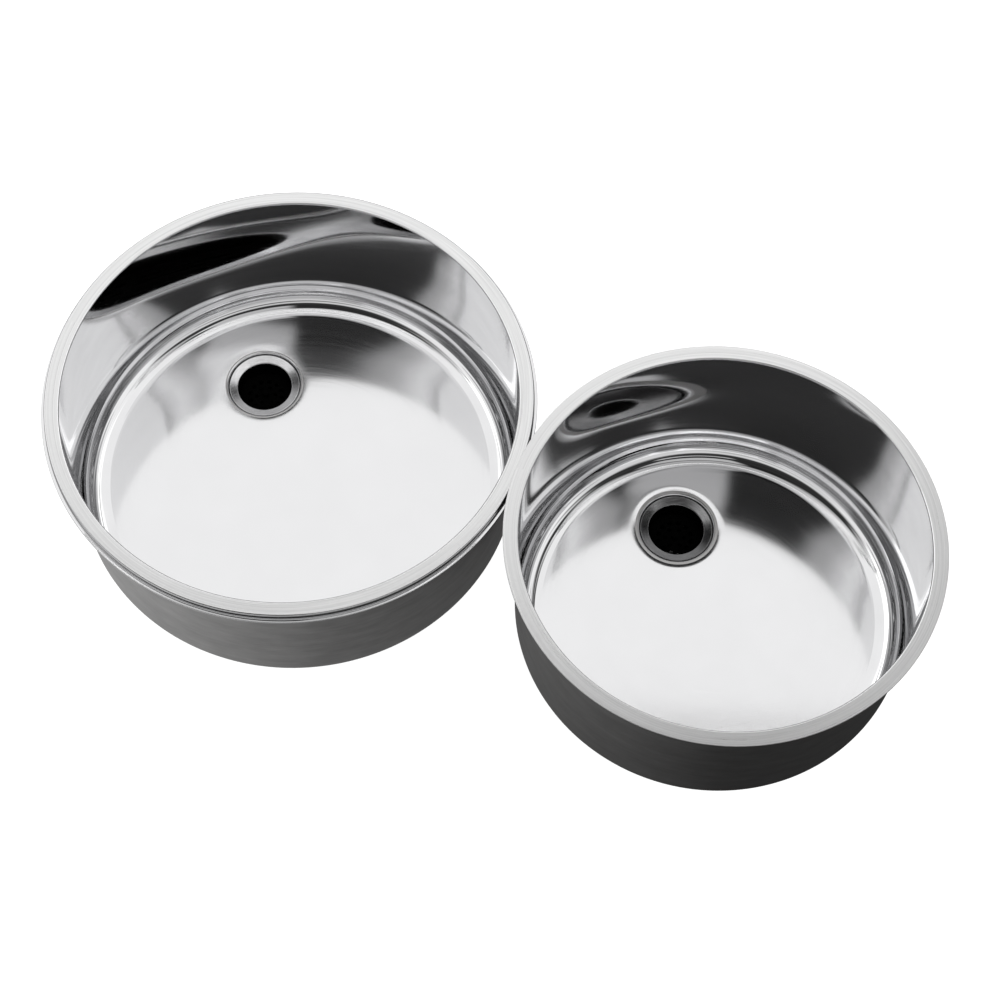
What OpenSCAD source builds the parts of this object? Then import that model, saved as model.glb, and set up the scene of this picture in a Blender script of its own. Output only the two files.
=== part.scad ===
// Pair of round deep-drawn stainless sink bowls, each with its waste fitting.
// Millimetres, +Z up. The origin is on the large bowl's axis, in the plane of
// the worktop that the large bowl's rim rests on. +X runs to the small bowl.

/* [Sheet] */
// Thickness of the stainless sheet of both bowls
sheet = 1.2; // [1:0.1:1.2]
// Visible radius of the fold between a rim and its bowl wall
fold_r = 1.6; // [1.6:0.1:2.2]
// Radius of the curve between wall and floor, on the wet side
corner_r = 22.8; // [18:0.2:30]

/* [Large bowl] */
// Outer radius of the raised flat rim
l_rim_r = 213; // [212:0.5:214]
// Outer radius of the lower lip round the rim
l_lip_r = 216; // [215.5:0.1:217]
// Height of the raised rim above the worktop
l_rim_h = 8.2; // [7.6:0.1:8.2]
// Inner radius of the wall just below the rim
l_wall_top = 199.8; // [198:0.1:200]
// Inner radius of the wall where the floor curve begins
l_wall_foot = 198.9; // [197:0.1:199]
// Overall depth, rim top to underside of the floor
l_depth = 158; // [150:0.5:160]
// Distance of the drain from the bowl's axis
l_drain_off = 109.3; // [80:0.1:115]
// Direction of the drain, from +X
l_drain_dir = 131.4; // [100:0.1:180]

/* [Small bowl] */
// Outer radius of the flat rim
s_rim_r = 188.2; // [186:0.1:188.6]
// Height of this rim's top above the large rim's top
s_rim_rise = 2; // [1.8:0.1:3]
// Inner radius of the wall just below the rim
s_wall_top = 175; // [173:0.1:175]
// Inner radius of the wall where the floor curve begins
s_wall_foot = 173.8; // [172:0.1:174]
// Distance of the drain from the bowl's axis
s_drain_off = 92.8; // [70:0.1:98]
// Direction of the drain, from +X
s_drain_dir = 125.4; // [100:0.1:180]
// Distance between the axes of the two bowls
pitch = 398; // [398:0.5:430]

/* [Drain recess] */
// Radius of the recess wall pressed round the drain
rec_r = 34.2; // [34.2:0.1:36]
// Depth of the recess below the floor
rec_depth = 6.5; // [6:0.1:8]
// Visible radius of the recess's upper edge
rec_edge = 2; // [1.8:0.1:2.4]
// Radius of the hole in the sheet
hole_r = 29; // [28.6:0.1:29.4]

/* [Waste fitting] */
// Clear radius of the drain opening inside the steel trim ring
mouth_r = 25.5; // [25:0.1:25.6]
// Outer radius of the threaded barrel
barrel_r = 28.4; // [28:0.1:28.5]
// Length of the barrel below the recess
barrel_len = 40; // [38:0.5:50]
// Outer radius of the outlet spigot
spigot_r = 20; // [20:0.1:20.2]
// Length of the spigot below its union nut
spigot_len = 30; // [25:1:60]
// Radius of the lift-out strainer
strainer_r = 24.7; // [24:0.1:24.8]

/* [Seals and pads] */
// Thickness of the small rim's sealing strip
strip_t = 2; // [1:0.1:2.5]
// Thickness of the sound-deadening pads
pad_t = 2.5; // [2:0.1:4]

/* [Hidden] */
$fn = 180;

// heights of both bowls: the undersides of the two floors lie in one plane
base_z = l_rim_h - l_depth;
floor_z = base_z + sheet;
s_top = l_rim_h + s_rim_rise;
lip_bend = 1.2;
edge_r = 1.5;

// heights of the waste fitting, measured from the underside of the floor
rec_floor = sheet - rec_depth;          // wet side of the recess floor
seal_top = rec_floor + 1;               // top of the seal under the flange
flange_top = seal_top + 1.6;            // top of the plastic flange
trim_top = flange_top + 0.6;            // top of the steel trim ring
washer_z = rec_floor - sheet;           // underside of the recess floor
barrel_z = washer_z - barrel_len;       // lower end of the barrel
ledge_z = -24;                          // ledge that the strainer rests on
nut_z = barrel_z - 10;                  // lower end of the union nut
spigot_z = nut_z - spigot_len;          // lower end of the spigot
bore_r = mouth_r + 0.5;

// points of an arc, from angle a to angle b
function arc(c, r, a, b, n = 10) =
  [for (i = [0:n]) let (t = a + (b - a) * i / n) [c[0] + r * cos(t), c[1] + r * sin(t)]];

// section of wall, corner and floor on the wet side, from the axis outwards
function wet_side(top, rt, rf) = concat(
  [[0, floor_z]],
  arc([rf - corner_r, floor_z + corner_r], corner_r, -90, 0, 14),
  arc([rt + fold_r, top - fold_r], fold_r, 180, 90, 6));

// the same section on the dry side, one sheet further out, back to the axis
function dry_side(top, rt, rf) = concat(
  arc([rt + fold_r, top - fold_r], fold_r - sheet, 90, 180, 6),
  arc([rf - corner_r, floor_z + corner_r], corner_r + sheet, 0, -90, 14),
  [[0, base_z]]);

// raised rim with a step down to the lower lip, and back underneath
function stepped_rim(top, ro, lip) = concat(
  arc([ro - edge_r, top - edge_r], edge_r, 90, 0, 6),
  arc([ro + lip_bend, sheet + lip_bend], lip_bend, 180, 270, 6),
  arc([lip - 0.3, sheet - 0.3], 0.3, 90, 0, 3),
  [[lip, 0]],
  arc([ro + lip_bend, sheet + lip_bend], lip_bend + sheet, 270, 180, 6),
  arc([ro - edge_r, top - edge_r], edge_r - sheet, 0, 90, 4));

// plain flat rim, and back underneath
function flat_rim(top, ro) = concat(
  arc([ro - 0.4, top - 0.4], 0.4, 90, 0, 4), [[ro, top - sheet]]);

// recess pressed round the drain hole, as a ring let into the floor
module recess() {
  c = 1.2;
  re = rec_r + rec_edge;
  rotate_extrude() polygon(concat(
    [[re + 1.6, sheet]],
    arc([re, sheet - rec_edge], rec_edge, 90, 180, 8),
    arc([rec_r - c, rec_floor + c], c, 0, -90, 6),
    [[hole_r, rec_floor], [hole_r, rec_floor - sheet]],
    arc([rec_r - c, rec_floor + c], c + sheet, -90, 0, 6),
    arc([re, sheet - rec_edge], rec_edge - sheet, 180, 90, 8),
    [[re + 1.6, 0]]));
}

// moves a fitting from the drain's own axis to its place under a bowl
module at_drain(off, dir) {
  rotate([0, 0, dir]) translate([off, 0, base_z]) children();
}
module at_large() { at_drain(l_drain_off, l_drain_dir) children(); }
module at_small() { translate([pitch, 0, 0]) at_drain(s_drain_off, s_drain_dir) children(); }

// a plain ring
module ring(ro, ri, z0, z1) {
  translate([0, 0, z0]) difference() {
    cylinder(r = ro, h = z1 - z0);
    translate([0, 0, -1]) cylinder(r = ri, h = z1 - z0 + 2);
  }
}

module large_bowl() {
  color([0.80, 0.80, 0.81]) union() {
    difference() {
      rotate_extrude() polygon(concat(
        wet_side(l_rim_h, l_wall_top, l_wall_foot),
        stepped_rim(l_rim_h, l_rim_r, l_lip_r),
        dry_side(l_rim_h, l_wall_top, l_wall_foot)));
      at_large() translate([0, 0, -1]) cylinder(r = rec_r + rec_edge + 0.8, h = sheet + 2);
    }
    at_large() recess();
  }
}

module small_bowl() {
  color([0.80, 0.80, 0.81]) union() {
    difference() {
      translate([pitch, 0, 0]) rotate_extrude() polygon(concat(
        wet_side(s_top, s_wall_top, s_wall_foot),
        flat_rim(s_top, s_rim_r),
        dry_side(s_top, s_wall_top, s_wall_foot)));
      at_small() translate([0, 0, -1]) cylinder(r = rec_r + rec_edge + 0.8, h = sheet + 2);
    }
    at_small() recess();
  }
}

// foam strip that fills the hollow under the raised rim, down to the worktop
module large_rim_seal() {
  color([0.12, 0.12, 0.12]) ring(l_rim_r - 3, l_wall_top + 3.2, 0, l_rim_h - sheet);
}

// flat foam strip under the plain rim
module small_rim_seal() {
  color([0.12, 0.12, 0.12]) translate([pitch, 0, 0])
    ring(s_rim_r - 4.2, s_wall_top + 2.5, s_top - sheet - strip_t, s_top - sheet);
}

// damping pad under the floor, cut away round the waste fitting
module sound_pad(r) {
  difference() {
    translate([0, 0, -pad_t]) cylinder(r = r, h = pad_t);
    children();
  }
}
module large_sound_pad() {
  color([0.16, 0.16, 0.17]) translate([0, 0, base_z]) sound_pad(140)
    rotate([0, 0, l_drain_dir]) translate([l_drain_off, 0, -pad_t - 1]) cylinder(r = 40, h = pad_t + 2);
}
module small_sound_pad() {
  color([0.16, 0.16, 0.17]) translate([pitch, 0, base_z]) sound_pad(118)
    rotate([0, 0, s_drain_dir]) translate([s_drain_off, 0, -pad_t - 1]) cylinder(r = 40, h = pad_t + 2);
}

// thin steel ring over the plastic flange, turned down inside and outside
module trim_ring() {
  e = 0.6;
  o = rec_r - 0.6;
  rotate_extrude() polygon(concat(
    arc([o - 1, trim_top - 1], 1, 0, 90, 6),
    arc([mouth_r + 1.2, trim_top - 1.2], 1.2, 90, 180, 6),
    [[mouth_r, trim_top - 3.4], [mouth_r + 0.4, trim_top - 3.4]],
    arc([mouth_r + 1.2, trim_top - 1.2], 0.8, 180, 90, 6),
    [[mouth_r + 1.2, flange_top], [o - 0.8, flange_top], [o - 0.5, flange_top - 0.3],
     [o - 0.5, seal_top - 0.2], [o, seal_top - 0.2]]));
}

// flanged plastic barrel that passes through the hole in the bowl
module waste_body() {
  rotate_extrude() polygon([
    [bore_r + 1, flange_top], [rec_r - 1.5, flange_top], [rec_r - 1.2, flange_top - 0.3],
    [rec_r - 1.2, seal_top], [barrel_r, seal_top], [barrel_r, barrel_z + 1],
    [barrel_r - 1, barrel_z], [bore_r - 1.4, barrel_z], [bore_r - 1.4, ledge_z - 6],
    [bore_r - 3.4, ledge_z - 4], [bore_r - 3.4, ledge_z], [bore_r, ledge_z], [bore_r, flange_top - 1]]);
}

module flange_seal() { ring(rec_r - 1.4, hole_r + 0.1, rec_floor, seal_top); }
module clamp_washer() { ring(rec_r + 0.6, barrel_r + 0.1, washer_z - 3, washer_z); }
module slip_washer() { ring(rec_r + 0.6, barrel_r + 0.1, washer_z - 4.5, washer_z - 3); }

// lugged nut that draws the flange down on its seal
module back_nut() {
  z0 = washer_z - 16.5;
  h = 12;
  difference() {
    union() {
      translate([0, 0, z0]) cylinder(r = 33, h = h);
      translate([0, 0, z0 + h - 3]) cylinder(r = 37, h = 3);
      for (i = [0:7]) rotate([0, 0, 45 * i]) translate([30, -2.5, z0]) cube([7, 5, h]);
    }
    translate([0, 0, z0 - 1]) cylinder(r = barrel_r + 0.05, h = h + 2);
  }
}

module outlet_seal() { ring(barrel_r - 0.2, bore_r - 1.4, barrel_z - 2, barrel_z); }

// collar and spigot that the union nut holds to the barrel
module outlet_tail() {
  c0 = barrel_z - 5;
  c1 = barrel_z - 2;
  rotate_extrude() polygon([
    [spigot_r + 2.5, c1], [barrel_r - 0.2, c1], [barrel_r - 0.2, c0], [spigot_r + 0.3, c0],
    [spigot_r + 0.3, nut_z], [spigot_r, nut_z], [spigot_r, spigot_z + 1], [spigot_r - 1, spigot_z], [spigot_r - 2, spigot_z], [spigot_r - 2, c0]]);
}

// ribbed nut over the end of the barrel
module union_nut() {
  h = 22;
  difference() {
    union() {
      translate([0, 0, nut_z]) cylinder(r = 32.5, h = h);
      for (i = [0:11]) rotate([0, 0, 30 * i]) translate([30, -1.5, nut_z + 1]) cube([4.5, 3, h - 2]);
    }
    translate([0, 0, barrel_z - 5]) cylinder(r = barrel_r + 0.05, h = h);
    translate([0, 0, nut_z - 1]) cylinder(r = spigot_r + 0.4, h = h);
  }
}

// perforated disc with a finger knob, resting on the ledge in the barrel
module strainer() {
  difference() {
    union() {
      translate([0, 0, ledge_z]) cylinder(r = strainer_r, h = 2.2);
      translate([0, 0, ledge_z - 4]) cylinder(r = bore_r - 4, h = 5);
      translate([0, 0, ledge_z]) cylinder(r = 3, h = 8);
    }
    translate([0, 0, ledge_z - 5]) difference() {
      cylinder(r = bore_r - 5.6, h = 5);
      cylinder(r = 4.6, h = 5);
    }
    for (i = [0:11]) rotate([0, 0, 30 * i]) translate([15.5, 0, ledge_z - 6]) cylinder(r = 2.4, h = 10);
    for (i = [0:5]) rotate([0, 0, 60 * i + 15]) translate([9, 0, ledge_z - 6]) cylinder(r = 2, h = 10);
  }
}

module large_trim_ring() { color([0.78, 0.78, 0.79]) at_large() trim_ring(); }
module large_waste_body() { color([0.05, 0.05, 0.05]) at_large() waste_body(); }
module large_flange_seal() { color([0.10, 0.10, 0.10]) at_large() flange_seal(); }
module large_clamp_washer() { color([0.10, 0.10, 0.10]) at_large() clamp_washer(); }
module large_slip_washer() { color([0.85, 0.85, 0.82]) at_large() slip_washer(); }
module large_back_nut() { color([0.07, 0.07, 0.07]) at_large() back_nut(); }
module large_outlet_seal() { color([0.10, 0.10, 0.10]) at_large() outlet_seal(); }
module large_outlet_tail() { color([0.06, 0.06, 0.06]) at_large() outlet_tail(); }
module large_union_nut() { color([0.07, 0.07, 0.07]) at_large() union_nut(); }
module large_strainer() { color([0.05, 0.05, 0.05]) at_large() strainer(); }

module small_trim_ring() { color([0.78, 0.78, 0.79]) at_small() trim_ring(); }
module small_waste_body() { color([0.05, 0.05, 0.05]) at_small() waste_body(); }
module small_flange_seal() { color([0.10, 0.10, 0.10]) at_small() flange_seal(); }
module small_clamp_washer() { color([0.10, 0.10, 0.10]) at_small() clamp_washer(); }
module small_slip_washer() { color([0.85, 0.85, 0.82]) at_small() slip_washer(); }
module small_back_nut() { color([0.07, 0.07, 0.07]) at_small() back_nut(); }
module small_outlet_seal() { color([0.10, 0.10, 0.10]) at_small() outlet_seal(); }
module small_outlet_tail() { color([0.06, 0.06, 0.06]) at_small() outlet_tail(); }
module small_union_nut() { color([0.07, 0.07, 0.07]) at_small() union_nut(); }
module small_strainer() { color([0.05, 0.05, 0.05]) at_small() strainer(); }

large_bowl();
large_rim_seal();
large_sound_pad();
large_trim_ring();
large_waste_body();
large_flange_seal();
large_clamp_washer();
large_slip_washer();
large_back_nut();
large_outlet_seal();
large_outlet_tail();
large_union_nut();
large_strainer();
small_bowl();
small_rim_seal();
small_sound_pad();
small_trim_ring();
small_waste_body();
small_flange_seal();
small_clamp_washer();
small_slip_washer();
small_back_nut();
small_outlet_seal();
small_outlet_tail();
small_union_nut();
small_strainer();
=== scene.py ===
import math

import bpy
import numpy as np
from mathutils import Matrix, Vector


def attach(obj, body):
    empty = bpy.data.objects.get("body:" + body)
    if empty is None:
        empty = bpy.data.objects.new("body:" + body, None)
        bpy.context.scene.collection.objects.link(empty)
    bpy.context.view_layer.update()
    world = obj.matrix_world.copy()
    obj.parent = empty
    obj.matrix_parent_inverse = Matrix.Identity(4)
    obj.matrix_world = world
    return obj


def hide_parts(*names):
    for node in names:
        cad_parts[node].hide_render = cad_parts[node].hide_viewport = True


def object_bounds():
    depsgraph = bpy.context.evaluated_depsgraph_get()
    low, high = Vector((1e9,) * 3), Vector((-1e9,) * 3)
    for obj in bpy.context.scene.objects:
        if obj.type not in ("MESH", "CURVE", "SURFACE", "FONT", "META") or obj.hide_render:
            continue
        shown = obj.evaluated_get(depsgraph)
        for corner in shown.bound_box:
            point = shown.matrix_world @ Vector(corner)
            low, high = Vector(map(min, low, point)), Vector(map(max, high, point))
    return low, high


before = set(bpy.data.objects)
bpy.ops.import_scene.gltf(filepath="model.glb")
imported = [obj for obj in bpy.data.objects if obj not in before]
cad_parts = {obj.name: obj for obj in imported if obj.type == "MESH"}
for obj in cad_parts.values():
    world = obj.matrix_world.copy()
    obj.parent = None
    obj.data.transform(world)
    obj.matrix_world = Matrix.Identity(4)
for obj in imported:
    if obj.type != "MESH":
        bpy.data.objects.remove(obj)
cad_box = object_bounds()
scene = bpy.context.scene
scene.view_settings.view_transform = "Standard"
scene.view_settings.look = "None"

# ---------------------------------------------------------------- dimensions
MM = 0.001
SHEET = 1.2
DISH = 17.9     # slope of the ring round the drain, degrees
FLARE = 3.0      # lean of the wall near its top, degrees
RIPPLE = 2.4     # draw lines of the corner, degrees
FOLD = 1.6
CORNER = 22.8
REC_R, REC_DEPTH, REC_EDGE, HOLE_R = 34.2, 6.5, 2.0, 29.0
PITCH = 398.0
BASE = 8.2 - 158.0
FLOOR = BASE + SHEET
L = dict(x=0.0, top=8.2, rt=199.8, rf=198.9, ro=213.0, lip=216.0, off=109.3, ang=131.4, kind="step")
S = dict(x=PITCH, top=10.2, rt=175.0, rf=173.8, ro=188.2, off=92.8, ang=125.4, kind="flat")


def drain_centre(b):
    a = math.radians(b["ang"])
    return b["off"] * math.cos(a), b["off"] * math.sin(a)


# ------------------------------------------------------------- mesh building
def grid_object(name, rings, mats, closed=True):
    """A surface of rings: each is (points, normals, material index of the band that starts there)."""
    n = len(rings[0][0])
    verts = np.concatenate([r[0] for r in rings]) * MM
    normals = np.concatenate([r[1] for r in rings])
    m = len(rings)
    faces, index = [], []
    last = m if closed else m - 1
    for k in range(last):
        k2 = (k + 1) % m
        a, b = k * n, k2 * n
        for i in range(n):
            j = (i + 1) % n
            faces.append((a + i, b + i, b + j, a + j))
            index.append(rings[k][2])
    me = bpy.data.meshes.new(name)
    me.from_pydata(verts.tolist(), [], faces)
    for f, k in zip(me.polygons, index):
        f.material_index = k
    me.polygons.foreach_set("use_smooth", [True] * len(me.polygons))
    me.update()
    normals = normals / np.linalg.norm(normals, axis=1)[:, None]
    me.normals_split_custom_set_from_vertices(normals.tolist())
    ob = bpy.data.objects.new(name, me)
    scene.collection.objects.link(ob)
    for mt in mats:
        me.materials.append(mt)
    return ob


def arc(cx, cz, r, a, b, n, sign):
    """Points and normals of an arc; sign -1 faces its centre."""
    out = []
    for i in range(n + 1):
        t = math.radians(a + (b - a) * i / n)
        out.append((cx + r * math.cos(t), cz + r * math.sin(t), sign * math.cos(t), sign * math.sin(t)))
    return out


def line(p, q, n, count):
    return [(p[0] + (q[0] - p[0]) * i / count, p[1] + (q[1] - p[1]) * i / count, n[0], n[1]) for i in range(count + 1)]


def lathe(profile, cx, cy, mat, n):
    """Rings of revolution about (cx, cy) from a list of (r, z, nr, nz)."""
    t = np.linspace(0, 2 * math.pi, n, endpoint=False)
    c, s = np.cos(t), np.sin(t)
    out = []
    for r, z, nr, nz in profile:
        P = np.c_[cx + r * c, cy + r * s, np.full(n, z)]
        N = np.c_[nr * c, nr * s, np.full(n, nz)]
        out.append([P, N, mat])
    return out


def turned_piece(name, pts, bevel, cx, cy, mats, n=180, inner_r=0.0):
    """A solid of revolution from a closed profile [(r, z)] that runs clockwise, with a small bevel at each corner.
    Faces closer to the axis than inner_r take the second material."""
    m = len(pts)
    out = []
    for i in range(m):
        p, q = pts[i], pts[(i + 1) % m]
        dx, dz = q[0] - p[0], q[1] - p[1]
        k = math.hypot(dx, dz)
        nx, nz = dz / k * -1, dx / k
        e = min(bevel, 0.4 * k)
        out.append((p[0] + dx / k * e, p[1] + dz / k * e, nx, nz))
        out.append((q[0] - dx / k * e, q[1] - dz / k * e, nx, nz))
    rings = lathe(out, cx, cy, 0, n)
    for ring, p in zip(rings, out):
        if p[0] < inner_r:
            ring[2] = 1
    return grid_object(name, rings, mats)


N_AROUND = 288
# the floor sinks towards the drain: (depth, distance from the recess over which it does, power)
DIPS = {"step": ((1.0, 60.0, 3), (0.3, 9.0, 2)), "flat": ((0.7, 60.0, 3), (1.0, 9.0, 2))}


def dip(kind, d):
    """Depth of the floor at distance d from the drain's axis, and its slope."""
    depth = slope = 0.0
    for a, reach, k in DIPS[kind]:
        t = max(0.0, min(1.0, (d - (REC_R + REC_EDGE)) / reach))
        depth += a * (1 - t) ** k
        slope -= k * a * (1 - t) ** (k - 1) / reach
    return depth, slope


def loft(b, d, z0, sign, mat, r0, r1, count, dipped):
    """Flat floor between the drain's circle and the floor's own circle, as circles that drift from one to the other."""
    t = np.linspace(0, 2 * math.pi, N_AROUND, endpoint=False)
    out = []
    for k in range(count + 1):
        s = k / count
        s = s if not dipped else s ** 1.6
        cx, cy = d[0] * (1 - s), d[1] * (1 - s)
        r = r0 + (r1 - r0) * s
        x, y = cx + r * np.cos(t), cy + r * np.sin(t)
        z = np.full(N_AROUND, z0)
        nx, ny = np.zeros(N_AROUND), np.zeros(N_AROUND)
        if dipped:
            dd = np.hypot(x - d[0], y - d[1])
            for i in range(N_AROUND):
                h, g = dip(b["kind"], dd[i])
                z[i] -= h
                # z = z0 - h(dd); the slope of z along dd is -g
                nx[i], ny[i] = g * (x[i] - d[0]) / dd[i], g * (y[i] - d[1]) / dd[i]
        out.append([np.c_[b["x"] + x, y, z], np.c_[nx, ny, np.ones(N_AROUND)] * sign, mat])
    return out


def flare(h):
    """The upper wall leans out a little: tangent of the lean at height h over the floor, carried by the shading alone."""
    t = max(0.0, min(1.0, (h - 30.0) / 80.0))
    return math.tan(math.radians(FLARE)) * t * t * (3 - 2 * t)


def draw_lines(point, a):
    """Tilt a corner normal by the shallow rings that deep drawing leaves; a runs from -90 at the floor to 0 at the wall."""
    r, z, nr, nz = point
    fade = math.sin(math.pi * (a + 90) / 90) ** 0.5 if -90 < a < 0 else 0.0
    t = math.radians(RIPPLE) * fade * (math.sin(math.radians(360 * a / 11.0)) + 0.8 * math.sin(math.radians(360 * a / 6.3 + 70)))
    c, s = math.cos(t), math.sin(t)
    return r, z, nr * c - nz * s, nr * s + nz * c


def bowl(name, b, mats):
    d = drain_centre(b)
    x0 = b["x"]
    zf, top, rt, rf, ro = FLOOR, b["top"], b["rt"], b["rf"], b["ro"]
    e = sum(a for a, reach, k in DIPS[b["kind"]])
    rings = []
    # drain recess, wet side
    re = REC_R + REC_EDGE
    zr = zf - REC_DEPTH
    prof = line((HOLE_R, zr), (REC_R - 1.2, zr), (0, 1), 2)
    prof += arc(REC_R - 1.2, zr + 1.2, 1.2, -90, 0, 10, -1)[1:]
    prof += line((REC_R, zr + 1.2), (REC_R, zf - REC_EDGE - e), (-1, 0), 2)[1:]
    prof += arc(re, zf - REC_EDGE - e, REC_EDGE, 180, 90, 20, 1)[1:]
    rings += lathe(prof, x0 + d[0], d[1], 0, N_AROUND)
    # floor
    rings += loft(b, d, zf, 1, 4, re, rf - CORNER, 48, True)[1:]
    # corner, wall, fold
    cor = [draw_lines(pt, -90 + 90 * i / 100) for i, pt in enumerate(arc(rf - CORNER, zf + CORNER, CORNER, -90, 0, 100, -1))]
    slope = (rt - rf) / (top - FOLD - zf - CORNER)
    wall = [(r, z, nr, nz + flare(z - zf)) for r, z, nr, nz in line((rf, zf + CORNER), (rt, top - FOLD), (-1, slope), 24)]
    rings += lathe(cor[1:] + wall[1:], x0, 0, 0, N_AROUND)
    fold = arc(rt + FOLD, top - FOLD, FOLD, 180, 90, 12, 1)
    rings += lathe(fold[1:], x0, 0, 0, N_AROUND)
    rings[-4][2] = rings[-3][2] = rings[-2][2] = 1
    rings[-1][2] = 1
    if b["kind"] == "step":
        lip, ed, bend = b["lip"], 1.5, 1.2
        flat = line((rt + FOLD, top), (ro - ed, top), (0, 1), 8)
        rings += lathe(flat[1:], x0, 0, 1, N_AROUND)
        bends = arc(ro - ed, top - ed, ed, 90, 0, 10, 1)[1:]
        bends += line((ro, top - ed), (ro, SHEET + bend), (1, 0), 4)[1:]
        bends += arc(ro + bend, SHEET + bend, bend, 180, 270, 10, -1)[1:]
        bends += line((ro + bend, SHEET - 0.02), (lip - 0.5, SHEET - 0.13), (0.087, 0.996), 3)
        bends += arc(lip - 0.5, SHEET - 0.63, 0.5, 85, 0, 6, 1)
        bends += line((lip, SHEET - 0.63), (lip, 0.12), (1, 0), 1)[1:]
        bends += arc(lip - 0.12, 0.12, 0.12, 0, -90, 3, 1)[1:]
        rings += lathe(bends, x0, 0, 2, N_AROUND)
        rings[-len(bends) - 1][2] = 1
        under = line((lip - 0.12, 0), (ro + bend, 0), (0, -1), 2)[1:]
        under += arc(ro + bend, SHEET + bend, bend + SHEET, 270, 180, 10, 1)[1:]
        under += line((ro - SHEET, SHEET + bend), (ro - SHEET, top - ed), (-1, 0), 3)[1:]
        under += arc(ro - ed, top - ed, ed - SHEET, 0, 90, 4, -1)[1:]
        under += line((ro - ed, top - SHEET), (rt + FOLD, top - SHEET), (0, -1), 3)[1:]
    else:
        flat = line((rt + FOLD, top), (ro - 0.4, top), (0, 1), 8)
        rings += lathe(flat[1:], x0, 0, 1, N_AROUND)
        edge = arc(ro - 0.4, top - 0.4, 0.4, 90, 0, 6, 1)[1:]
        edge += line((ro, top - 0.4), (ro, top - SHEET + 0.15), (1, 0), 2)[1:]
        edge += arc(ro - 0.15, top - SHEET + 0.15, 0.15, 0, -90, 3, 1)[1:]
        rings += lathe(edge, x0, 0, 1, N_AROUND)
        under = line((ro - 0.15, top - SHEET), (rt + FOLD, top - SHEET), (0, -1), 4)[1:]
    under += arc(rt + FOLD, top - FOLD, FOLD - SHEET, 90, 180, 5, -1)[1:]
    rings += lathe(under, x0, 0, 3, N_AROUND)
    wall = line((rt + SHEET, top - FOLD), (rf + SHEET, zf + CORNER), (1, -slope), 6)[1:]
    cor = arc(rf - CORNER, zf + CORNER, CORNER + SHEET, 0, -90, 16, 1)[1:]
    rings += lathe(wall + cor, x0, 0, 3, N_AROUND)
    rings += list(reversed(loft(b, d, BASE, -1, 3, re, rf - CORNER, 8, False)))[1:]
    low = arc(re, zf - REC_EDGE, REC_EDGE - SHEET, 90, 180, 6, -1)[1:]
    low += line((REC_R + SHEET, zf - REC_EDGE), (REC_R + SHEET, zr + 1.2), (1, 0), 2)[1:]
    low += arc(REC_R - 1.2, zr + 1.2, 1.2 + SHEET, 0, -90, 8, 1)[1:]
    low += line((REC_R - 1.2, zr - SHEET), (HOLE_R, zr - SHEET), (0, -1), 2)[1:]
    low += line((HOLE_R, zr - SHEET), (HOLE_R, zr), (-1, 0), 2)[1:-1]
    rings += lathe(low, x0 + d[0], d[1], 3, N_AROUND)
    return grid_object(name, rings, mats)


# ----------------------------------------------------------------- materials
def material(name):
    m = bpy.data.materials.new(name)
    m.use_nodes = True
    nt = m.node_tree
    b = nt.nodes["Principled BSDF"]
    return m, nt, b


def noise(nt, scale, detail=3.0, rough=0.5, vector=None):
    n = nt.nodes.new("ShaderNodeTexNoise")
    n.inputs["Scale"].default_value = scale
    n.inputs["Detail"].default_value = detail
    n.inputs["Roughness"].default_value = rough
    if vector is not None:
        nt.links.new(vector, n.inputs["Vector"])
    return n.outputs["Fac"]


def remap(nt, value, lo, hi, a=0.3, b=0.7):
    n = nt.nodes.new("ShaderNodeMapRange")
    n.inputs["From Min"].default_value = a
    n.inputs["From Max"].default_value = b
    n.inputs["To Min"].default_value = lo
    n.inputs["To Max"].default_value = hi
    nt.links.new(value, n.inputs["Value"])
    return n.outputs["Result"]


def grey(nt, value, lo, hi, tint=(1, 1, 1)):
    r = nt.nodes.new("ShaderNodeValToRGB")
    r.color_ramp.elements[0].position = 0.3
    r.color_ramp.elements[1].position = 0.7
    r.color_ramp.elements[0].color = (lo * tint[0], lo * tint[1], lo * tint[2], 1)
    r.color_ramp.elements[1].color = (hi * tint[0], hi * tint[1], hi * tint[2], 1)
    nt.links.new(value, r.inputs["Fac"])
    return r.outputs["Color"]


def bump(nt, bsdf, height, strength, distance):
    n = nt.nodes.new("ShaderNodeBump")
    n.inputs["Strength"].default_value = strength
    n.inputs["Distance"].default_value = distance
    nt.links.new(height, n.inputs["Height"])
    nt.links.new(n.outputs["Normal"], bsdf.inputs["Normal"])
    return n


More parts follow.
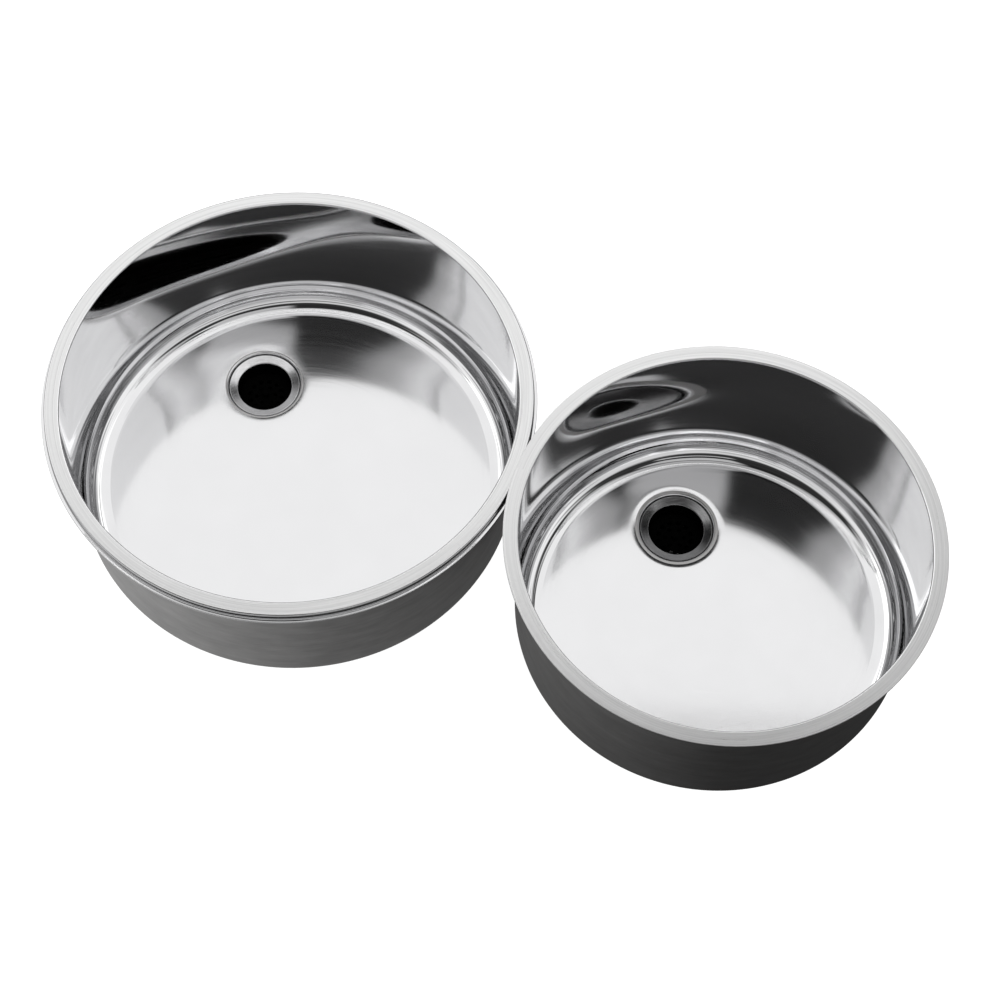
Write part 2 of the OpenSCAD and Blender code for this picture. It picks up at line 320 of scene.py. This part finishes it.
def turned(nt, cx, along, across, up):
    """Coordinates that run round the bowl's axis: distance out, angle and height, each with its own scale."""
    tc = nt.nodes.new("ShaderNodeTexCoord")
    sub = nt.nodes.new("ShaderNodeVectorMath")
    sub.operation = "SUBTRACT"
    sub.inputs[1].default_value = (cx * MM, 0, 0)
    nt.links.new(tc.outputs["Object"], sub.inputs[0])
    sep = nt.nodes.new("ShaderNodeSeparateXYZ")
    nt.links.new(sub.outputs[0], sep.inputs[0])

    def maths(op, a, b=None):
        n = nt.nodes.new("ShaderNodeMath")
        n.operation = op
        for s, v in zip(n.inputs, (a, b)):
            if v is None:
                continue
            if isinstance(v, (int, float)):
                s.default_value = v
            else:
                nt.links.new(v, s)
        return n.outputs[0]

    x, y, z = sep.outputs
    r = maths("SQRT", maths("ADD", maths("MULTIPLY", x, x), maths("MULTIPLY", y, y)))
    a = maths("ARCTAN2", y, x)
    comb = nt.nodes.new("ShaderNodeCombineXYZ")
    nt.links.new(maths("MULTIPLY", r, across), comb.inputs[0])
    nt.links.new(maths("MULTIPLY", maths("SINE", maths("MULTIPLY", a, 0.5)), along), comb.inputs[1])
    nt.links.new(maths("MULTIPLY", z, up), comb.inputs[2])
    return comb.outputs[0]


def polished(name, cx, r0, r1, lo=0.70, hi=0.74):
    m, nt, b = material(name)
    b.inputs["Metallic"].default_value = 1.0
    v = turned(nt, cx, 3.0, 900.0, 900.0)
    fine = noise(nt, 1.0, 2.0, 0.5, v)
    cloud = noise(nt, 9.0, 2.0, 0.5)
    nt.links.new(grey(nt, cloud, lo, hi, (1.0, 1.0, 1.01)), b.inputs["Base Color"])
    nt.links.new(remap(nt, fine, r0, r1), b.inputs["Roughness"])
    return m


def satin(name, cx, lo, hi, r0, r1, cloud=0.0, across=700.0, up=500.0, along=2.0, depth=0.25):
    """Brushed steel: streaks that run round the bowl, over a soft clouding."""
    m, nt, b = material(name)
    b.inputs["Metallic"].default_value = 1.0
    v = turned(nt, cx, along, across, up)
    lines = noise(nt, 1.0, 4.0, 0.65, v)
    tone = grey(nt, lines, lo, hi)
    if cloud:
        mix = nt.nodes.new("ShaderNodeMix")
        mix.data_type = "RGBA"
        mix.blend_type = "MULTIPLY"
        mix.inputs[0].default_value = 1.0
        nt.links.new(tone, mix.inputs[6])
        nt.links.new(grey(nt, noise(nt, 14.0, 5.0, 0.6), 1.0 - cloud, 1.0, (1.0, 0.99, 0.985)), mix.inputs[7])
        tone = mix.outputs[2]
    nt.links.new(tone, b.inputs["Base Color"])
    nt.links.new(remap(nt, lines, r0, r1), b.inputs["Roughness"])
    bump(nt, b, lines, depth, 0.00005)
    return m


def plastic(name, colour, rough, scale=700.0, strength=0.15):
    m, nt, b = material(name)
    g = noise(nt, scale, 2.0)
    nt.links.new(grey(nt, g, colour * 0.8, colour * 1.2), b.inputs["Base Color"])
    nt.links.new(remap(nt, noise(nt, 60.0), rough - 0.06, rough + 0.06), b.inputs["Roughness"])
    b.inputs["Specular IOR Level"].default_value = 0.35
    bump(nt, b, g, strength, 0.0001)
    return m


inner = {"l": polished("polished_large", 0.0, 0.03, 0.05), "s": polished("polished_small", PITCH, 0.03, 0.05)}
ground = {"l": polished("floor_large", 0.0, 0.09, 0.13, 0.735, 0.75), "s": polished("floor_small", PITCH, 0.09, 0.13, 0.735, 0.75)}
rim = {k: satin("satin_rim_" + k, c, 0.57, 0.80, 0.26, 0.40, along=3.0) for k, c in (("l", 0.0), ("s", PITCH))}
# the same satin steel on both outer walls; the small bowl's is a little darker, which is painted shade
wall = {"l": satin("satin_wall_l", 0.0, 0.53, 0.63, 0.32, 0.40, 0.22), "s": satin("satin_wall_s_painted_shade", PITCH, 0.48, 0.57, 0.32, 0.40, 0.18)}
# the small trim ring's steel is much darker than the large one's: painted shade, not a darker steel
trim_steel = {"l": polished("trim_large", 0.0, 0.16, 0.24, 0.62, 0.70), "s": polished("trim_small_painted_shade", PITCH, 0.14, 0.20, 0.24, 0.30)}
black = plastic("black_plastic", 0.008, 0.5)
# black plastic made darker and without sheen: painted shade for the strainer and for the inside faces of the barrel and
# spigot
deep = plastic("strainer_plastic", 0.0012, 0.75)
deep.node_tree.nodes["Principled BSDF"].inputs["Specular IOR Level"].default_value = 0.02
black_nut = plastic("black_nylon", 0.014, 0.45)
rubber = plastic("black_rubber", 0.012, 0.7, 300.0, 0.25)
foam = plastic("foam", 0.02, 0.85, 500.0, 0.6)
pad = plastic("pad", 0.035, 0.75, 160.0, 0.6)
offwhite = plastic("offwhite_plastic", 0.62, 0.45)

# -------------------------------------------------------------------- pieces
for key, b, body, p in (("l", L, "large_sink", "large"), ("s", S, "small_sink", "small")):
    ob = bowl(p + "_bowl_sheet", b, [inner[key], rim[key], inner[key], wall[key], ground[key]])
    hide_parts(p + "_bowl")
    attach(ob, body)
    # trim ring, dished towards the mouth
    d = drain_centre(b)
    o, mo = REC_R - 0.6, 25.5
    rf_, st = FLOOR - REC_DEPTH, FLOOR - REC_DEPTH + 1.0
    ft, tt = st + 1.6, st + 2.2
    q = math.radians(DISH)
    c0 = (o - 0.7, tt - 0.7)                      # centre of the rounded outer edge
    c1 = (mo + 1.3, tt - 3.3)                     # centre of the rounded mouth
    prof = arc(c1[0], c1[1], 1.3, 180, 90 + DISH, 12, 1)
    prof += arc(c0[0], c0[1], 0.7, 90 + DISH, 0, 12, 1)
    prof += line((o, tt - 0.7), (o, st - 0.2), (1, 0), 2)[1:]
    prof += line((o, st - 0.2), (o - 0.5, st - 0.2), (0, -1), 1)
    prof += line((o - 0.5, st - 0.2), (o - 0.5, ft - 0.6), (-1, 0), 1)
    prof += line((o - 0.9, ft - 0.3), (mo + 0.9, tt - 3.0), (math.sin(q), -math.cos(q)), 3)
    prof += line((mo + 0.4, tt - 3.3), (mo + 0.4, tt - 3.4), (1, 0), 1)
    prof += line((mo + 0.4, tt - 3.4), (mo, tt - 3.4), (0, -1), 1)
    prof += line((mo, tt - 3.4), (mo, tt - 3.3), (-1, 0), 1)[:-1]
    ob = grid_object(p + "_trim", lathe(prof, b["x"] + d[0], d[1], 0, 240), [trim_steel[key]])
    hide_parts(p + "_trim_ring")
    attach(ob, body)
    # barrel of the waste, with its thread
    z0 = BASE
    top_, seal, low = -2.75, -4.3, -46.5
    pts = [(26.0, -4.9), (26.4, -4.75), (32.6, -3.05), (33.0, -3.3), (33.0, seal), (28.4, seal)]
    zt = -8.0
    while zt > low + 3:
        pts += [(28.4, zt), (27.6, zt - 0.8), (27.6, zt - 1.2), (28.4, zt - 2.0)]
        zt -= 3.0
    pts += [(28.4, low + 1), (27.4, low), (24.6, low), (24.6, -30.0), (22.6, -28.0), (22.6, -24.0), (26.0, -24.0)]
    # faces inside inner_r take the near-black plastic: painted shade inside the throat
    ob = turned_piece(p + "_barrel", [(r_, z0 + z_) for r_, z_ in pts], 0.15, b["x"] + d[0], d[1], [black, deep], inner_r=26.6)
    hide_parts(p + "_waste_body")
    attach(ob, body)
    # outlet collar and spigot
    c0_, c1_, nz_, sp = low - 5, low - 2, low - 10, low - 40
    pts = [(22.5, c1_), (28.2, c1_), (28.2, c0_), (20.3, c0_), (20.3, nz_), (20.0, nz_), (20.0, sp + 1), (19.0, sp), (18.0, sp), (18.0, c0_)]
    # faces inside inner_r take the near-black plastic: painted shade inside the outlet
    ob = turned_piece(p + "_spigot", [(r_, z0 + z_) for r_, z_ in pts], 0.2, b["x"] + d[0], d[1], [black, deep], inner_r=19.5)
    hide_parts(p + "_outlet_tail")
    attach(ob, body)

# the strainer is black plastic, darkened further to painted shade
node_mats = {
    "rim_seal": foam, "sound_pad": pad, "waste_body": black, "flange_seal": rubber,
    "clamp_washer": rubber, "slip_washer": offwhite, "back_nut": black_nut,
    "outlet_seal": rubber, "outlet_tail": black, "union_nut": black_nut, "strainer": deep,
}
for name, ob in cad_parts.items():
    kind = name.split("_", 1)[1]
    if kind in node_mats:
        ob.data.materials.clear()
        ob.data.materials.append(node_mats[kind])

# --------------------------------------------------------------------- stage
lo, hi = cad_box
z = lo.z - 0.0005
N_COVE = 128
cove = [(7.0 * k / 14, z) for k in range(1, 15)]
cove += [(7.0 + 2.0 * math.sin(math.radians(a)), z + 2.0 - 2.0 * math.cos(math.radians(a))) for a in range(6, 91, 6)]
cove += [(9.0, z + 14.0)]
verts = [(0.0, 0.0, z)]
faces = [(0, 1 + i, 1 + (i + 1) % N_COVE) for i in range(N_COVE)]
for k, (r_, z_) in enumerate(cove):
    verts += [(r_ * math.cos(2 * math.pi * i / N_COVE), r_ * math.sin(2 * math.pi * i / N_COVE), z_) for i in range(N_COVE)]
    if k:
        p0, p1 = 1 + (k - 1) * N_COVE, 1 + k * N_COVE
        faces += [(p0 + i, p1 + i, p1 + (i + 1) % N_COVE, p0 + (i + 1) % N_COVE) for i in range(N_COVE)]
me = bpy.data.meshes.new("floor")
me.from_pydata(verts, [], faces)
me.polygons.foreach_set("use_smooth", [True] * len(me.polygons))
me.update()
floor = bpy.data.objects.new("floor", me)
scene.collection.objects.link(floor)
m, nt, b_ = material("pale_floor")
nt.links.new(grey(nt, noise(nt, 0.8), 0.26, 0.30), b_.inputs["Base Color"])
b_.inputs["Roughness"].default_value = 0.9
b_.inputs["Specular IOR Level"].default_value = 0.0
b_.inputs["Emission Color"].default_value = (1, 1, 1, 1)
painted_shadow_ao = nt.nodes.new("ShaderNodeAmbientOcclusion")      # painted contact shadow: the floor's glow is darkened where something stands close over it
painted_shadow_ao.samples = 6
painted_shadow_ao.inputs["Distance"].default_value = 0.08
power = nt.nodes.new("ShaderNodeMath")
power.operation = "POWER"
nt.links.new(painted_shadow_ao.outputs["AO"], power.inputs[0])
power.inputs[1].default_value = 3.0
glow = nt.nodes.new("ShaderNodeMath")
glow.operation = "MULTIPLY"
nt.links.new(power.outputs[0], glow.inputs[0])
glow.inputs[1].default_value = 0.94
nt.links.new(glow.outputs[0], b_.inputs["Emission Strength"])
me.materials.append(m)
m.cycles.emission_sampling = "NONE"
floor.visible_glossy = False

# -------------------------------------------------------------------- camera
YAW = math.radians(18.469)
PITCH_DOWN = math.radians(62.531)
ROLL = math.radians(-1.998)
c, s = math.cos(PITCH_DOWN), math.sin(PITCH_DOWN)
fwd = Vector((0, c, -s))
right = Vector((1, 0, 0))
down = fwd.cross(right)
if down.z > 0:
    down = -down
cr, sr = math.cos(ROLL), math.sin(ROLL)
right, down = cr * right + sr * down, -sr * right + cr * down
turn = Matrix.Rotation(YAW, 3, "Z")
right, down, fwd = turn @ right, turn @ down, turn @ fwd
cam_data = bpy.data.cameras.new("camera")
cam_data.sensor_width = 36.0
cam_data.sensor_fit = "HORIZONTAL"
cam_data.lens = 36.0 * 2.1959
cam = bpy.data.objects.new("camera", cam_data)
scene.collection.objects.link(cam)
rot = Matrix((right, -down, -fwd)).transposed()
cam.matrix_world = Matrix.Translation((0.4802, -0.8500, 1.6640)) @ rot.to_4x4()
scene.camera = cam

# --------------------------------------------------------------------- light
# A studio with a dark ceiling, pale walls all round and large soft panels, which the steel mirrors.
def panel(name, centre, across, up, hw, hh, soft, level):
    """A light panel of half sizes hw and hh that fades at its edges and lets what is behind it through.
    Centre and directions are seen from the camera: right, away, up. soft is one width, or one for each direction."""
    fade = soft if isinstance(soft, tuple) else (soft, soft)
    mesh = bpy.data.meshes.new(name)
    mesh.from_pydata([(-hw, -hh, 0), (hw, -hh, 0), (hw, hh, 0), (-hw, hh, 0)], [], [(0, 1, 2, 3)])
    ob = bpy.data.objects.new(name, mesh)
    scene.collection.objects.link(ob)
    ax, ay = (turn @ Vector(across)).normalized(), (turn @ Vector(up)).normalized()
    rot = Matrix((ax, ay, ax.cross(ay))).transposed()
    ob.matrix_world = Matrix.Translation(turn @ Vector(centre)) @ rot.to_4x4()
    mt = bpy.data.materials.new(name)
    mt.use_nodes = True
    nt = mt.node_tree
    nt.nodes.clear()
    out = nt.nodes.new("ShaderNodeOutputMaterial")
    em = nt.nodes.new("ShaderNodeEmission")
    clear = nt.nodes.new("ShaderNodeBsdfTransparent")
    both = nt.nodes.new("ShaderNodeAddShader")
    nt.links.new(em.outputs[0], both.inputs[0])
    nt.links.new(clear.outputs[0], both.inputs[1])
    nt.links.new(both.outputs[0], out.inputs["Surface"])
    tc = nt.nodes.new("ShaderNodeTexCoord")
    sep = nt.nodes.new("ShaderNodeSeparateXYZ")
    nt.links.new(tc.outputs["Object"], sep.inputs[0])
    fades = []
    for axis, half, soft in ((0, hw, fade[0]), (1, hh, fade[1])):
        ab = nt.nodes.new("ShaderNodeMath")
        ab.operation = "ABSOLUTE"
        nt.links.new(sep.outputs[axis], ab.inputs[0])
        mr = nt.nodes.new("ShaderNodeMapRange")
        mr.interpolation_type = "SMOOTHSTEP"
        mr.inputs["From Min"].default_value = half - soft
        mr.inputs["From Max"].default_value = half
        mr.inputs["To Min"].default_value = 1.0
        mr.inputs["To Max"].default_value = 0.0
        nt.links.new(ab.outputs[0], mr.inputs["Value"])
        fades.append(mr.outputs["Result"])
    mul = nt.nodes.new("ShaderNodeMath")
    mul.operation = "MULTIPLY"
    nt.links.new(fades[0], mul.inputs[0])
    nt.links.new(fades[1], mul.inputs[1])
    lev = nt.nodes.new("ShaderNodeMath")
    lev.operation = "MULTIPLY"
    nt.links.new(mul.outputs[0], lev.inputs[0])
    lev.inputs[1].default_value = level
    nt.links.new(lev.outputs[0], em.inputs["Strength"])
    mesh.materials.append(mt)
    ob.visible_camera = False
    ob.visible_shadow = False
    return ob


panel("top_light", (-0.1, 0.43, 0.75), (1, 0, 0), (0, 1, 0), 1.0, 0.49, 0.16, 1.10)
panel("top_front", (0.05, 0.0, 0.75), (1, 0, 0), (0, 1, 0), 0.84, 0.14, 0.08, 0.50)
panel("high_right", (1.4, -2.2, 6.0), (1, 0, 0), (0, 1, 0), 1.5, 1.2, 0.40, 0.60)
panel("left_light", (-0.95, -0.3, 0.5), (0, 1, 0), (0, 0, 1), 1.30, 0.50, 0.25, 0.25)
panel("right_light", (1.4, 0.4, 0.7), (0, 1, 0), (0, 0, 1), 0.95, 0.65, 0.30, 0.30)
panel("back_light", (0.1, 1.45, 1.1), (1, 0, 0), (0, 1, 0), 1.1, 0.35, 0.15, 1.30)

# What the steel mirrors of the floor, which is lit from the left and falls off to the right.
mesh = bpy.data.meshes.new("floor_mirrored")
mesh.from_pydata([(-1.5, -1.5, 0), (1.5, -1.5, 0), (1.5, 1.5, 0), (-1.5, 1.5, 0)], [], [(0, 1, 2, 3)])
ob = bpy.data.objects.new("floor_mirrored", mesh)
scene.collection.objects.link(ob)
ob.matrix_world = Matrix.Translation((0, 0, lo.z - 0.0003)) @ turn.to_4x4()
mt, nt, b_ = material("floor_mirrored")
b_.inputs["Base Color"].default_value = (0, 0, 0, 1)
b_.inputs["Specular IOR Level"].default_value = 0.0
b_.inputs["Emission Color"].default_value = (1, 1, 1, 1)
tc = nt.nodes.new("ShaderNodeTexCoord")
sep = nt.nodes.new("ShaderNodeSeparateXYZ")
nt.links.new(tc.outputs["Object"], sep.inputs[0])
across_ = nt.nodes.new("ShaderNodeMapRange")
across_.inputs["From Min"].default_value = -0.5
across_.inputs["From Max"].default_value = 0.5
nt.links.new(sep.outputs[0], across_.inputs["Value"])
fall = nt.nodes.new("ShaderNodeValToRGB")
nt.links.new(across_.outputs["Result"], fall.inputs["Fac"])
els = fall.color_ramp.elements
els.new(0.5)
for e, (x_, v) in zip(els, ((-0.25, 0.50), (0.05, 0.19), (0.40, 0.04))):
    e.position = x_ + 0.5
    e.color = (v, v, v, 1)
nt.links.new(fall.outputs["Color"], b_.inputs["Emission Strength"])
mesh.materials.append(mt)
ob.visible_camera = False
ob.visible_diffuse = False
ob.visible_transmission = False
ob.visible_shadow = False

world = bpy.data.worlds.new("studio")
scene.world = world
world.use_nodes = True
wt = world.node_tree
bg = wt.nodes["Background"]
tc = wt.nodes.new("ShaderNodeTexCoord")
sep = wt.nodes.new("ShaderNodeSeparateXYZ")
wt.links.new(tc.outputs["Generated"], sep.inputs[0])
ramp = wt.nodes.new("ShaderNodeValToRGB")
half = wt.nodes.new("ShaderNodeMapRange")
half.inputs["From Min"].default_value = -1.0
half.inputs["From Max"].default_value = 1.0
wt.links.new(sep.outputs[2], half.inputs["Value"])
wt.links.new(half.outputs["Result"], ramp.inputs["Fac"])
stops = [(-1.0, 0.30), (0.0, 0.30), (0.34, 0.24), (0.42, 0.85), (0.62, 0.85), (0.72, 0.05), (1.0, 0.015)]
els = ramp.color_ramp.elements
while len(els) < len(stops):
    els.new(0.5)
for e, (z_, v) in zip(els, stops):
    e.position = (z_ + 1) / 2
    e.color = (v, v, v, 1)
grey_ = wt.nodes.new("ShaderNodeRGBToBW")
wt.links.new(ramp.outputs["Color"], grey_.inputs["Color"])
wt.links.new(grey_.outputs["Val"], bg.inputs["Strength"])
bg.inputs["Color"].default_value = (1, 1, 1, 1)
